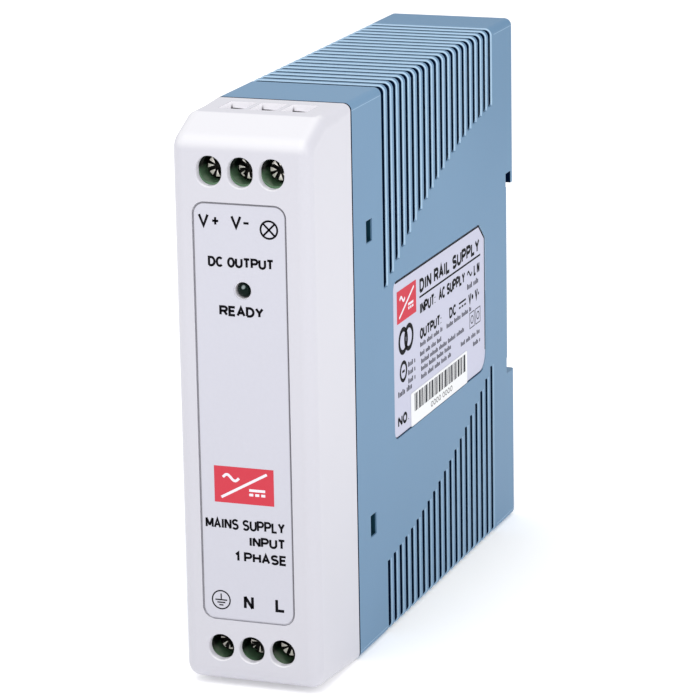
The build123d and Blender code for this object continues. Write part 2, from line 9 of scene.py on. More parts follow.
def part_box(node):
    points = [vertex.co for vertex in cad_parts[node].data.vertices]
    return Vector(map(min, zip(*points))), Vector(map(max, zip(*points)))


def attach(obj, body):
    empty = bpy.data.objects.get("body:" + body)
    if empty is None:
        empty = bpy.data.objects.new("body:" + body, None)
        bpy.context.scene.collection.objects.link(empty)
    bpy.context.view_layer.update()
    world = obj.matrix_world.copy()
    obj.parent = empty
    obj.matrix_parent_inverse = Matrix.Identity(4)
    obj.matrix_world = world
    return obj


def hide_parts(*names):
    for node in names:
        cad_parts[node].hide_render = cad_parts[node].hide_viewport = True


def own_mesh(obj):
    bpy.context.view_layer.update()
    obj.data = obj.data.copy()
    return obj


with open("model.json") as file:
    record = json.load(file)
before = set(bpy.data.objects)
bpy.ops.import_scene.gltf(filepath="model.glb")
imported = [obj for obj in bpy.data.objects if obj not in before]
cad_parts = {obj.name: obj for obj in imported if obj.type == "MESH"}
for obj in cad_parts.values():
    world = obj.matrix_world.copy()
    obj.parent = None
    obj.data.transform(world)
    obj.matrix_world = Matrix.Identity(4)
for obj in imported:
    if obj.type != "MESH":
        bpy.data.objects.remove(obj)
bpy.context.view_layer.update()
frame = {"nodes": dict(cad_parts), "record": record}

# A slim rail-mounted power supply: blue ribbed housing, white front cover, printed labels.
# The CAD frame is in metres; lengths here are written in millimetres and turned with MM.
# X is the width, Y the depth from the front to the rail, Z the height.

MM = 0.001


# ---------------------------------------------------------------- measures read from the frame

def corners(node):
    """Lowest and highest corner of a CAD node in millimetres."""
    low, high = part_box(node)
    return low / MM, high / MM


def middle(node):
    """Middle of a CAD node's box in millimetres."""
    low, high = corners(node)
    return (low + high) / 2


housing_low, housing_high = corners("housing")
panel_low, panel_high = corners("front_label")
plate_low, plate_high = corners("side_label")
cover_front = corners("front_cover")[0].y
screw_face = corners("output_screw_1")[0].y
sticker_face = corners("serial_sticker")[1].x

HALF_WIDTH = housing_high.x
HALF_HEIGHT = housing_high.z / 2
OUTPUT_AXIS = middle("output_screw_1").z
INPUT_AXIS = middle("input_screw_1").z
LIGHT_AXIS = middle("power_light").z
POLE_PITCH = middle("output_screw_2").x - middle("output_screw_1").x


# ---------------------------------------------------------------- measures that the CAD shares

HOUSING_CORNER = 1.2            # radius of the housing's long corners
SLOT_BEVEL = 0.2                # bevel of the slots' edges
SLOT_ZONE = (-18.5, 39.5)       # depths between which the shell is slotted
SEAT_START = 41.0               # depth of the rail seat's lips, behind the slots
WINDOW_ZONE = (-26.0, -23.0)    # depths of the snap windows
LABEL_DIVIDE = -40.0            # the front label lies before this depth, the side label behind it
PANEL_CORNER = 1.85             # corner radius of the shade line painted round the front label
PANEL_SHADE_LINE = 0.16               # width of that painted shade line
ENTRY_DEPTHS = (-40.4, -34.6)   # front and rear edges of the wire entries
ENTRY_REACH = 7.5               # half the width that the three entries take up
ENTRY_WALL = 4.5                # height of the entries' walls
ENTRY_STEP = 1.2                # distance below their mouths at which the entries narrow
HOLE_REACH = 2.45               # just over the radius of a screw hole in the cover
LIGHT_REACH = 1.6               # just over the radius of the light's hole
FRONT_WALL = (0.1, 2.4)         # depths behind the cover's face of the holes' walls


# ---------------------------------------------------------------- camera, light and stage

CAMERA_TURN = (20.32, 14.705, -1.0125)      # azimuth, elevation and roll in degrees
CAMERA_PLACE = (198.96, -540.86, 193.41)
LENS, SENSOR = 185.24, 36.0
SURROUND_STRENGTH = 0.86                    # how bright the white surroundings are
LIT_SPOT = (0, 0, 0.05)                     # where the lights point, in metres
FLOOR_HALF = 1.5                            # half the floor's side, in metres


def add_camera():
    """Camera that sees the object as the photograph does: from the right and above, long lens."""
    azimuth, elevation, roll = (math.radians(angle) for angle in CAMERA_TURN)
    back = Vector((math.sin(azimuth) * math.cos(elevation),
                   -math.cos(azimuth) * math.cos(elevation), math.sin(elevation)))
    level = Vector((math.cos(azimuth), math.sin(azimuth), 0))
    upright = back.cross(level)
    right = level * math.cos(roll) + upright * math.sin(roll)
    up = upright * math.cos(roll) - level * math.sin(roll)
    data = bpy.data.cameras.new("camera")
    data.lens, data.sensor_width = LENS, SENSOR
    data.clip_start, data.clip_end = 0.02, 20
    camera = bpy.data.objects.new("camera", data)
    turn = Matrix((right, up, back)).transposed().to_4x4()
    camera.matrix_world = Matrix.Translation(Vector(CAMERA_PLACE) * MM) @ turn
    bpy.context.scene.collection.objects.link(camera)
    bpy.context.scene.camera = camera


def add_softbox(name, place, side, power):
    """Square area light at `place`, `side` metres wide and `power` watts strong."""
    data = bpy.data.lights.new(name, "AREA")
    data.shape = "RECTANGLE"
    data.size = data.size_y = side
    data.energy = power
    light = bpy.data.objects.new(name, data)
    light.location = place
    light.rotation_mode = "QUATERNION"
    light.rotation_quaternion = (Vector(LIT_SPOT) - Vector(place)).to_track_quat("-Z", "Y")
    bpy.context.scene.collection.objects.link(light)


def add_world():
    """Even white surroundings."""
    world = bpy.data.worlds.new("studio")
    world.use_nodes = True
    background = world.node_tree.nodes["Background"]
    background.inputs["Color"].default_value = (1.0, 1.0, 1.0, 1)
    background.inputs["Strength"].default_value = SURROUND_STRENGTH
    bpy.context.scene.world = world


def add_floor():
    """Pale floor that carries only a faint contact shadow."""
    h = FLOOR_HALF
    mesh = bpy.data.meshes.new("floor")
    mesh.from_pydata([(-h, -h, 0), (h, -h, 0), (h, h, 0), (-h, h, 0)], [], [(0, 1, 2, 3)])
    floor = bpy.data.objects.new("floor", mesh)
    bpy.context.scene.collection.objects.link(floor)
    paper = Finish("floor_paper", (0.98, 0.98, 0.98), 0.9,
                   Emission_Color=(1, 1, 1, 1), Emission_Strength=0.22)
    mesh.materials.append(paper.material)


# ---------------------------------------------------------------- materials

class Finish:
    """One material's node tree, with a short call for each kind of node that the finishes use."""

    def __init__(self, name, colour, roughness, **sockets):
        self.material = bpy.data.materials.new(name)
        self.material.use_nodes = True
        self.tree = self.material.node_tree
        self.shader = self.tree.nodes["Principled BSDF"]
        self.shader.inputs["Base Color"].default_value = (*colour, 1)
        self.shader.inputs["Roughness"].default_value = roughness
        for socket, value in sockets.items():
            self.shader.inputs[socket.replace("_", " ")].default_value = value
        self.place = self.node("TexCoord").outputs["Object"]

    def node(self, kind):
        """New shader node, its kind given without Blender's prefix."""
        return self.tree.nodes.new("ShaderNode" + kind)

    def put(self, node, socket, value):
        """Link a socket to an input, or set the input's constant."""
        if isinstance(value, bpy.types.NodeSocket):
            self.tree.links.new(value, node.inputs[socket])
        else:
            node.inputs[socket].default_value = value

    def shade(self, socket, value):
        """Link or set one of the shader's own inputs."""
        self.put(self.shader, socket, value)

    # Arithmetic on values; masks are values of 0 or 1

    def math(self, operation, a, b=0.0):
        node = self.node("Math")
        node.operation = operation
        self.put(node, 0, a)
        self.put(node, 1, b)
        return node.outputs[0]

    def times(self, *values):
        """Product of values, or the part that masks share."""
        product = values[0]
        for value in values[1:]:
            product = self.math("MULTIPLY", product, value)
        return product

    def most(self, *values):
        """Largest of values, or masks taken together."""
        largest = values[0]
        for value in values[1:]:
            largest = self.math("MAXIMUM", largest, value)
        return largest

    def plus(self, a, b):
        return self.math("ADD", a, b)

    def minus(self, a, b):
        return self.math("SUBTRACT", a, b)

    def size(self, value):
        return self.math("ABSOLUTE", value)

    def over(self, value, limit):
        return self.math("GREATER_THAN", value, limit)

    def under(self, value, limit):
        return self.math("LESS_THAN", value, limit)

    def between(self, value, low, high):
        return self.times(self.over(value, low), self.under(value, high))

    def rest(self, mask):
        """What a mask leaves out."""
        return self.minus(1.0, mask)

    def distance(self, u, v):
        """Length of a vector in the plane."""
        return self.math("SQRT", self.plus(self.times(u, u), self.times(v, v)))

    def ramp(self, value, low, high):
        """0 below `low`, 1 above `high`, smooth in between."""
        node = self.node("MapRange")
        node.interpolation_type = "SMOOTHSTEP"
        self.put(node, "Value", value)
        node.inputs["From Min"].default_value = low
        node.inputs["From Max"].default_value = high
        return node.outputs[0]

    def spread(self, value, low, high):
        """A value from 0 to 1 mapped straight to low to high."""
        node = self.node("MapRange")
        self.put(node, "Value", value)
        node.inputs["To Min"].default_value = low
        node.inputs["To Max"].default_value = high
        return node.outputs[0]

    def mix(self, share, a, b):
        """Colour a turning into colour b."""
        node = self.node("Mix")
        node.data_type = "RGBA"
        for socket, value in ((0, share), (6, a), (7, b)):
            if isinstance(value, tuple):
                value = (*value, 1)
            self.put(node, socket, value)
        return node.outputs[2]

    # What the surface offers at each point

    def axes(self):
        """The three object coordinates in millimetres."""
        scale = self.node("VectorMath")
        scale.operation = "SCALE"
        self.put(scale, 0, self.place)
        scale.inputs["Scale"].default_value = 1 / MM
        split = self.node("SeparateXYZ")
        self.put(split, 0, scale.outputs[0])
        return split.outputs

    def facing(self, normal):
        """X, Y and Z of one of the geometry's normals."""
        split = self.node("SeparateXYZ")
        self.put(split, 0, self.node("NewGeometry").outputs[normal])
        return split.outputs

    def noise(self, size, detail=2.0, stretch=(1, 1, 1)):
        """Noise whose features are about `size` millimetres across, centred on a half."""
        mapping = self.node("Mapping")
        mapping.inputs["Scale"].default_value = [s / (size * MM) for s in stretch]
        self.put(mapping, "Vector", self.place)
        node = self.node("TexNoise")
        node.inputs["Scale"].default_value = 1.0
        node.inputs["Detail"].default_value = detail
        self.put(node, "Vector", mapping.outputs[0])
        return node.outputs["Fac"]

    def edges(self, radius):
        """Normal rounded over sharp edges, and a mask that is 1 on those edges."""
        bevel = self.node("Bevel")
        bevel.samples = 4
        bevel.inputs["Radius"].default_value = radius * MM
        dot = self.node("VectorMath")
        dot.operation = "DOT_PRODUCT"
        self.put(dot, 0, bevel.outputs[0])
        self.put(dot, 1, self.node("NewGeometry").outputs["Normal"])
        return bevel.outputs[0], self.ramp(self.rest(dot.outputs["Value"]), 0.01, 0.25)

    def bump(self, height, depth, normal=None):
        """Relief of `depth` millimetres on the shader's normal."""
        node = self.node("Bump")
        node.inputs["Distance"].default_value = depth * MM
        self.put(node, "Height", height)
        if normal is not None:
            self.put(node, "Normal", normal)
        self.shade("Normal", node.outputs[0])


def scaled(colour, factor):
    """Colour made darker or lighter, no channel over 1."""
    return tuple(min(1, c * factor) for c in colour)


def bleached(colour, share):
    """Colour part of the way to white."""
    return tuple(c + (1 - c) * share for c in colour)


DARKENING_HEIGHTS = (2.0, 70.0)     # a surface keeps its own colour above the upper height and is darkest at the lower
LOW_DARKENING, LOW_DARKNESS = 0.11, 0.3     # share of the darker colour at the foot, and the factor that darkens that colour


def moulded(name, colour, roughness, grain=0.3, relief=0.01, variation=0.03, edge=0.15, **sockets):
    """Injection-moulded plastic: fine eroded grain, slow colour drift, paler edges that are partly
    wear and partly painted highlight, darker towards the bottom.
    """
    made = Finish(name, colour, roughness, **sockets)
    normal, edge_highlight = made.edges(edge)
    drift = made.noise(14.0, 2.0)
    speck = made.noise(grain, 3.0)
    pale = scaled(colour, 1 + variation)
    tone = made.mix(drift, scaled(colour, 1 - variation), pale)
    tone = made.mix(made.ramp(speck, 0.35, 0.7), tone, pale)
    # Paler edges: partly wear, partly painted highlight
    tone = made.mix(made.times(edge_highlight, 0.5), tone, bleached(colour, 0.12))
    # Darker towards the bottom
    foot = made.rest(made.ramp(made.axes()[2], *DARKENING_HEIGHTS))
    made.colour = made.mix(made.times(foot, LOW_DARKENING), tone, scaled(colour, LOW_DARKNESS))
    made.shade("Base Color", made.colour)
    made.shade("Roughness", made.spread(speck, roughness - 0.06, roughness + 0.06))
    made.bump(speck, relief, normal)
    return made


def metal(name, colour, roughness, stretch=(1, 1, 1), scratch=0.25):
    """Plated or drawn metal: fine directional scratches, and brighter edges that are partly wear
    and partly painted highlight.
    """
    made = Finish(name, colour, roughness, Metallic=1.0)
    normal, edge_highlight = made.edges(0.08)
    lines = made.noise(scratch, 3.0, stretch)
    cloud = made.noise(2.2, 2.0)
    tone = made.mix(made.ramp(cloud, 0.3, 0.75), scaled(colour, 0.8), colour)
    # Brighter edges: partly wear, partly painted highlight
    made.colour = made.mix(made.times(edge_highlight, 0.6), tone, scaled(colour, 1.25))
    made.shade("Base Color", made.colour)
    made.shade("Roughness", made.spread(lines, roughness - 0.08, roughness + 0.12))
    made.bump(lines, 0.004, normal)
    return made


def rounded_box_depth(made, u, v, half_u, half_v, corner):
    """Depth in millimetres below the outline of a rounded rectangle centred on the origin."""
    over_u = made.minus(made.size(u), half_u - corner)
    over_v = made.minus(made.size(v), half_v - corner)
    outside = made.distance(made.most(over_u, 0.0), made.most(over_v, 0.0))
    inside = made.math("MINIMUM", made.most(over_u, over_v), 0.0)
    return made.minus(corner, made.plus(outside, inside))


def from_pole(made, x, z):
    """Distances across and above the nearest screw axis."""
    column = made.math("ROUND", made.math("DIVIDE", x, POLE_PITCH))
    across = made.minus(x, made.times(POLE_PITCH, column))
    axis = made.plus(INPUT_AXIS, made.times(made.over(z, HALF_HEIGHT), OUTPUT_AXIS - INPUT_AXIS))
    return across, made.minus(z, axis)


def housing_finish():
    """Blue satin plastic: painted navy shade inside the slots and snap windows, painted highlight
    on the ribs' front bevels.
    """
    blue, darker_blue = (0.128, 0.252, 0.402), (0.085, 0.20, 0.34)
    slot_shade, window_shade, edge_highlight = (0.001, 0.007, 0.028), (0.010, 0.045, 0.070), (0.42, 0.60, 0.78)
    gloss = 0.35
    made = moulded("housing_blue", blue, 0.5, grain=0.28, relief=0.012, variation=0.035,
                   edge=0.12, Specular_IOR_Level=gloss)
    x, y, z = made.axes()
    forward = made.facing("True Normal")["Y"]
    height = made.minus(z, HALF_HEIGHT)
    depth = rounded_box_depth(made, x, height, HALF_WIDTH, HALF_HEIGHT, HOUSING_CORNER)
    slotted = made.between(y, *SLOT_ZONE)

    # Darker toward the top at the rear
    upper_rear = made.times(made.ramp(y, 5.0, 48.0), made.ramp(z, 40.0, 85.0))
    tone = made.mix(made.times(upper_rear, 0.65), made.colour, darker_blue)

    # Painted highlight on the front bevel of every rib, fainter on the lower half
    bevel_highlight = made.times(made.under(forward, -0.35), made.under(depth, SLOT_BEVEL + 0.03), slotted,
                        made.spread(made.over(height, 0.0), 0.6, 1.0))
    tone = made.mix(bevel_highlight, tone, edge_highlight)

    # Painted highlight as a thin pale line along the parting line where the long corners run into
    # the sides
    from_tangent = made.size(made.minus(made.size(height), HALF_HEIGHT - HOUSING_CORNER))
    line = made.times(made.under(from_tangent, 0.045), made.over(made.size(x), HALF_WIDTH - 0.06),
                      made.rest(slotted))
    tone = made.mix(made.times(line, 0.55), tone, edge_highlight)

    # Painted shade: inside the slots, in the label's recess, on the rail seat's lip and at the
    # cover joint
    vents = made.times(made.ramp(depth, SLOT_BEVEL, SLOT_BEVEL + 0.12), made.under(y, SEAT_START))
    recess = made.times(made.over(depth, 0.25), made.between(y, plate_low.y, plate_high.y + 0.3),
                        made.between(z, plate_low.z - 0.3, plate_high.z + 0.3))
    lip = made.times(made.under(forward, -0.5), made.over(y, SEAT_START))
    joint = made.times(made.under(forward, -0.9), made.under(y, housing_low.y + 0.05))
    painted_shade = made.most(vents, recess, lip, joint)
    # Colour of the painted shade: teal in the snap windows, navy elsewhere
    inside = made.mix(made.between(y, *WINDOW_ZONE), slot_shade, window_shade)
    made.shade("Base Color", made.mix(painted_shade, tone, inside))
    made.shade("Specular IOR Level", made.spread(painted_shade, gloss, 0.0))
    return made


def cover_finish():
    """White satin plastic with a painted highlight on the sloped brow, and painted light on the
    walls of the entries and holes, partly as a faint glow.
    """
    white, brow_highlight = (0.61, 0.605, 0.665), (0.75, 0.745, 0.785)
    painted_lit_white, shaded, painted_glow_colour = (0.80, 0.79, 0.82), (0.13, 0.12, 0.13), (0.96, 0.94, 0.98, 1.0)
    faint_painted_glow, wall_painted_glow = 0.16, 0.22
    made = moulded("cover_white", white, 0.35, grain=0.5, relief=0.004, variation=0.01, edge=0.12)
    x, y, z = made.axes()
    facing = made.facing("Normal")
    level = facing["Z"]
    # Painted highlight: the sloped brow and its roundings turn a paler white
    brow = made.times(made.ramp(level, 0.05, 0.5), made.rest(made.ramp(level, 0.95, 0.995)),
                      made.rest(made.ramp(made.size(facing["X"]), 0.3, 0.8)),
                      made.rest(made.ramp(y, -42.5, -40.5)))
    tone = made.mix(brow, made.colour, brow_highlight)

    # Painted light: a paler white on the entries' walls that face forward and to the right
    from_middle = made.size(made.minus(z, HALF_HEIGHT))
    walls = made.times(made.between(y, ENTRY_DEPTHS[0] - 0.05, ENTRY_DEPTHS[1] + 0.05),
                       made.between(from_middle, HALF_HEIGHT - ENTRY_WALL, HALF_HEIGHT - 0.02),
                       made.under(made.size(x), ENTRY_REACH))
    painted_light_walls = made.times(walls, made.most(made.under(facing["Y"], -0.5), made.over(facing["X"], 0.5)))
    tone = made.mix(painted_light_walls, tone, painted_lit_white)

    # Shade left in one corner of each entry
    across, above = from_pole(made, x, z)
    below = made.minus(HALF_HEIGHT, from_middle)
    low_shade = made.times(made.over(below, ENTRY_STEP - 0.18),
                           made.rest(made.ramp(across, -1.4, 0.6)))
    side_shade = made.times(made.ramp(below, 0.2, ENTRY_STEP), made.under(across, -1.98))
    corner = made.times(made.most(low_shade, side_shade),
                        made.times(painted_light_walls, made.over(y, ENTRY_DEPTHS[1] - 0.5)))
    made.shade("Base Color", made.mix(corner, tone, shaded))

    # Painted light as a faint glow on the entries' walls, stronger on those that face forward and
    # to the right, and on the walls of the round holes in the front
    entries = made.times(made.most(made.times(walls, faint_painted_glow), made.times(painted_light_walls, wall_painted_glow)),
                         made.rest(corner))
    by_screw = made.times(made.under(made.distance(across, above), HOLE_REACH),
                          made.between(x, -1.5 * POLE_PITCH, 1.5 * POLE_PITCH))
    by_light = made.under(made.distance(x, made.minus(z, LIGHT_AXIS)), LIGHT_REACH)
    hole_glow = made.times(made.most(by_screw, by_light),
                       made.between(y, cover_front + FRONT_WALL[0], cover_front + FRONT_WALL[1]))
    made.shade("Emission Color", painted_glow_colour)
    made.shade("Emission Strength", made.most(entries, made.times(hole_glow, faint_painted_glow)))
    return made


def terminal_finish():
    """Green moulding, with painted shade making the upper part of each screw hole almost black."""
    made = moulded("terminal_green", (0.16, 0.31, 0.17), 0.3, grain=0.4, relief=0.006)
    x, _, z = made.axes()
    across, above = from_pole(made, x, z)
    # Painted shade: the upper part of each hole goes almost black, more of it at the lower
    # terminals
    slant = made.plus(above, made.times(across, 0.55))
    slant = made.plus(slant, made.times(made.under(z, HALF_HEIGHT), 0.85))
    shade = made.ramp(slant, -1.9, -0.6)
    made.shade("Base Color", made.mix(shade, made.colour, (0.004, 0.010, 0.006)))
    made.shade("Specular IOR Level", made.spread(shade, 0.5, 0.08))
    return made


def screw_finish():
    """Nickel plate, painted near-black as shade, with painted highlights in radial bars on the head
    that also glow a little.
    """
    painted_head_shade, glint_glow = (0.015, 0.014, 0.012), (1.0, 0.95, 0.87, 1.0)
    sectors = 8.0
    made = metal("screw_steel", (1.0, 0.96, 0.88), 0.2, scratch=0.5)
    made.shade("Metallic", 0.6)
    x, y, z = made.axes()
    across, above = from_pole(made, x, z)
    angle = made.math("ARCTAN2", above, across)
    out = made.distance(across, above)
    # Painted highlights: radial bars on the head, which also glow; the rest is painted near-black
    # shade
    glint_sectors = made.ramp(made.math("COSINE", made.times(angle, sectors)), -0.35, 0.05)
    painted_glint = made.times(glint_sectors, made.ramp(out, 0.35, 0.5), made.rest(made.ramp(out, 1.65, 1.8)),
                        made.under(y, screw_face + 0.03))
    made.shade("Base Color", made.mix(painted_glint, painted_head_shade, made.colour))
    made.shade("Roughness", made.spread(painted_glint, 0.5, 0.16))
    made.shade("Emission Color", glint_glow)
    made.shade("Emission Strength", made.times(painted_glint, 0.22))
    return made


def film_finish():
    """Printed film: pale lavender, with a fine grey line of painted shade round the edge of the
    front panel, fainter at the bottom.
    """
    front, side, grey = (0.585, 0.585, 0.66), (0.50, 0.508, 0.645), (0.20, 0.195, 0.225)
    made = moulded("label_film", front, 0.42, grain=0.6, relief=0.003, variation=0.012, edge=0.05)
    x, y, z = made.axes()
    tone = made.mix(made.over(y, LABEL_DIVIDE), made.colour, side)
    centre = middle("front_label")
    depth = rounded_box_depth(made, made.minus(x, centre.x), made.minus(z, centre.z),
                              panel_high.x - centre.x, panel_high.z - centre.z, PANEL_CORNER)
    # Painted shade of the recess's edge: a grey line round the front panel, fainter at the bottom
    fade = made.spread(made.ramp(z, panel_low.z, panel_low.z + 1.6), 0.25, 1.0)
    line = made.times(made.under(depth, PANEL_SHADE_LINE), made.under(y, LABEL_DIVIDE), fade)
    made.shade("Base Color", made.mix(line, tone, grey))
    return made


def ink(name, colour):
    """Screen-printed ink: slightly uneven film with a dull sheen."""
    made = Finish(name, colour, 0.5, Specular_IOR_Level=0.02)
    cloud = made.noise(0.8, 3.0)
    made.shade("Base Color", made.mix(cloud, colour, bleached(colour, 0.01)))
    made.shade("Roughness", made.spread(cloud, 0.42, 0.58))
    made.bump(cloud, 0.002)
    return made.material


def wire_finish():
    """Enamelled copper wire laid turn by turn upwards, with painted shade in the grooves between
    the turns.
    """
    copper, pitch = (0.60, 0.24, 0.09), 0.5
    made = Finish("copper_wire", copper, 0.25)
    height = made.axes()[2]
    turn = made.math("FRACT", made.math("DIVIDE", height, pitch))
    wire = made.math("SINE", made.times(turn, math.pi))
    # Painted shade: darker copper in the grooves between the turns
    tone = made.mix(made.ramp(wire, 0.05, 0.6), scaled(copper, 0.35), copper)
    made.shade("Base Color", made.mix(made.noise(1.5), tone, scaled(copper, 0.85)))
    made.bump(wire, 0.15)
    return made


def board_finish():
    """Solder mask over glass fibre, with copper tracks showing through as paler bands."""
    made = Finish("board_green", (0.03, 0.13, 0.06), 0.35, Coat_Weight=0.4)
    weave = made.noise(0.5, 1.0, (1, 3, 1))
    tracks = made.ramp(made.noise(5.0, 0.0, (1, 1, 3)), 0.5, 0.52)
    tone = made.mix(tracks, (0.022, 0.10, 0.045), (0.05, 0.19, 0.08))
    made.shade("Base Color", made.mix(weave, tone, (0.03, 0.12, 0.05)))
    made.bump(tracks, 0.03)
    return made


def lens_finish():
    """Tinted, almost black moulding, with a painted highlight as a pale patch near the top of the
    lens.
    """
    highlight_x, highlight_z = 0.1, LIGHT_AXIS + 0.55
    made = Finish("light_lens", (0.002, 0.007, 0.006), 0.15, Specular_IOR_Level=0.08)
    x, _, z = made.axes()
    haze = made.noise(0.5, 2.0)
    # Painted highlight: a pale patch a little above the middle of the lens
    across, above = made.minus(x, highlight_x), made.minus(z, highlight_z)
    away_squared = made.plus(made.times(across, across), made.times(above, above))
    lens_highlight = made.rest(made.ramp(away_squared, 0.01, 0.14))
    tone = made.mix(haze, (0.001, 0.005, 0.004), (0.004, 0.013, 0.010))
    made.shade("Base Color", made.mix(lens_highlight, tone, (0.26, 0.31, 0.31)))
    made.shade("Roughness", made.spread(haze, 0.10, 0.22))
    return made


def make_finishes():
    """Every material slot of the record, by name."""
    special = {
        "housing_blue": housing_finish(),
        "cover_white": cover_finish(),
        "label_film": film_finish(),
        "terminal_green": terminal_finish(),
        "screw_steel": screw_finish(),
        "board_green": board_finish(),
        "light_lens": lens_finish(),
        "copper_wire": wire_finish(),
    }
    # Name, colour and roughness, then what differs from the usual
    plastics = (
        ("sticker_white", (0.84, 0.85, 0.87), 0.5,
         {"grain": 0.4, "relief": 0.004, "variation": 0.02, "edge": 0.05}),
        ("white_plastic", (0.70, 0.70, 0.68), 0.45, {}),
        ("black_plastic", (0.02, 0.02, 0.022), 0.45, {"relief": 0.008}),
        ("sleeve_black", (0.02, 0.025, 0.04), 0.25, {"grain": 1.2, "relief": 0.01}),
        ("ferrite", (0.05, 0.05, 0.055), 0.6, {"grain": 0.5, "relief": 0.03, "variation": 0.2}),
        ("tape_yellow", (0.72, 0.50, 0.05), 0.3, {"grain": 2.0, "relief": 0.02}),
        ("box_yellow", (0.70, 0.46, 0.03), 0.35, {"grain": 0.6}),
        ("fuse_ceramic", (0.78, 0.76, 0.70), 0.3, {"grain": 0.4}),
        ("disc_dark", (0.03, 0.06, 0.035), 0.4, {"grain": 0.9, "relief": 0.03}),
        ("disc_blue", (0.05, 0.14, 0.40), 0.3, {"grain": 0.9, "relief": 0.03}),
        ("resistor_body", (0.35, 0.50, 0.60), 0.35, {"grain": 0.5}),
        ("insulation_film", (0.75, 0.75, 0.70), 0.5, {"grain": 0.8}),
        ("latch_grey", (0.05, 0.055, 0.06), 0.5, {"grain": 0.3, "relief": 0.012}),
    )
    # Name, colour and roughness, then how the scratches are squeezed along each axis
    metals = (
        ("tinned_metal", (0.62, 0.62, 0.60), 0.35, (1, 1, 1)),
        ("clamp_steel", (0.60, 0.60, 0.58), 0.35, (1, 6, 1)),
        ("can_aluminium", (0.75, 0.75, 0.76), 0.3, (1, 5, 1)),
        ("heatsink_aluminium", (0.60, 0.60, 0.61), 0.4, (1, 1, 8)),
        ("spring_steel", (0.50, 0.50, 0.50), 0.3, (1, 1, 1)),
    )
    plain = {row[0]: moulded(*row[:3], **row[3]) for row in plastics}
    drawn = {row[0]: metal(*row) for row in metals}
    return special | plain | drawn


def dress_nodes(finishes):
    """Give each CAD node the full material of its record slot."""
    for part in frame["record"]["subparts"]:
        mesh = frame["nodes"][part["node"]].data
        mesh.materials.clear()
        mesh.materials.append(finishes[part["material_slot"]].material)


def add_return_spring():
    """The latch's spring, standing for its CAD node: a copy of its mesh fixed to the enclosure."""
    mesh = frame["nodes"]["latch_spring"].data.copy()
    spring = bpy.data.objects.new("return_spring", mesh)
    bpy.context.scene.collection.objects.link(spring)
    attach(spring, "enclosure")
    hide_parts("latch_spring")
    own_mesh(spring)


# ---------------------------------------------------------------- printing

class Face:
    """A flat face to print on: maps (across, up, out) in millimetres to the frame."""

    def __init__(self, origin, right, up):
        self.origin, self.right, self.up = Vector(origin), Vector(right), Vector(up)
        self.out = self.right.cross(self.up)

    def matrix(self):
        """Turn from a layout on the face to the frame's metres."""
        turn = Matrix((self.right, self.up, self.out)).transposed().to_4x4()
        return Matrix.Translation(self.origin * MM) @ turn @ Matrix.Scale(MM, 4)


def bow(centre, radius, start, end, steps=10):
    """Points along part of an ellipse, from one angle to another in degrees."""
    turns = [math.radians(start + (end - start) * n / steps) for n in range(steps + 1)]
    return [(centre[0] + radius[0] * math.cos(a), centre[1] + radius[1] * math.sin(a))
            for a in turns]


# Plain capitals as centre lines: 6 units tall, 4 wide unless listed
LETTER_RISE, LETTER_WIDTH, LETTER_GAP = 6, 4.0, 1.7
LETTER_WIDTHS = {"I": 0.8, " ": 1.0, "1": 1.5, "L": 3.2, "E": 3.4, "M": 4.8, ".": 0.8, ":": 0.8,
                 "+": 3.2, "V": 4.2, "A": 4.2, "-": 1.8}
LETTERS = {
    "A": [[(0, 0), (2.1, 6), (4.2, 0)], [(0.8, 2), (3.4, 2)]],
    "C": [bow((2.1, 3), (2.1, 3), 45, 315, 20)],
    "D": [[(0, 0), (0, 6), (1.6, 6)] + bow((1.6, 3), (2.4, 3), 90, -90, 14) + [(0, 0)]],
    "E": [[(3.4, 6), (0, 6), (0, 0), (3.4, 0)], [(0, 3.1), (3.0, 3.1)]],
    "H": [[(0, 0), (0, 6)], [(4, 0), (4, 6)], [(0, 3.1), (4, 3.1)]],
    "I": [[(0.4, 0), (0.4, 6)]],
    "L": [[(0, 6), (0, 0), (3.2, 0)]],
    "M": [[(0, 0), (0, 6)], [(0, 6), (2.4, 1)], [(2.4, 1), (4.8, 6)], [(4.8, 6), (4.8, 0)]],
    "N": [[(0, 0), (0, 6)], [(0, 6), (4, 0)], [(4, 0), (4, 6)]],
    "O": [bow((2, 3), (2, 3), 90, 450, 24)],
    "P": [[(0, 0), (0, 6), (2.4, 6)] + bow((2.4, 4.4), (1.6, 1.6), 90, -90) + [(0, 2.8)]],
    "R": [[(0, 0), (0, 6), (2.4, 6)] + bow((2.4, 4.45), (1.55, 1.55), 90, -90) + [(0, 2.9)],
          [(2.3, 2.9), (4, 0)]],
    "S": [bow((2, 4.5), (1.8, 1.5), 25, 270, 14) + bow((2, 1.55), (1.9, 1.55), 90, -155, 14)],
    "T": [[(0, 6), (4, 6)], [(2, 6), (2, 0)]],
    "U": [[(0, 6), (0, 2)] + bow((2, 2), (2, 2), 180, 360) + [(4, 6)]],
    "V": [[(0, 6), (2.1, 0), (4.2, 6)]],
    "Y": [[(0, 6), (2, 2.8), (4, 6)], [(2, 2.8), (2, 0)]],
    "0": [bow((2, 3), (2, 3), 90, 450, 24)],
    "1": [[(0, 4.6), (1.5, 6), (1.5, 0)]],
    "+": [[(0, 3), (3.2, 3)], [(1.6, 1.4), (1.6, 4.6)]],
    "-": [[(0, 2.4), (1.8, 2.4)]],
    ".": [[(0.4, 0), (0.4, 0.4)]],
    ":": [[(0.4, 0), (0.4, 0.5)], [(0.4, 3.5), (0.4, 4.0)]],
    " ": [],
}


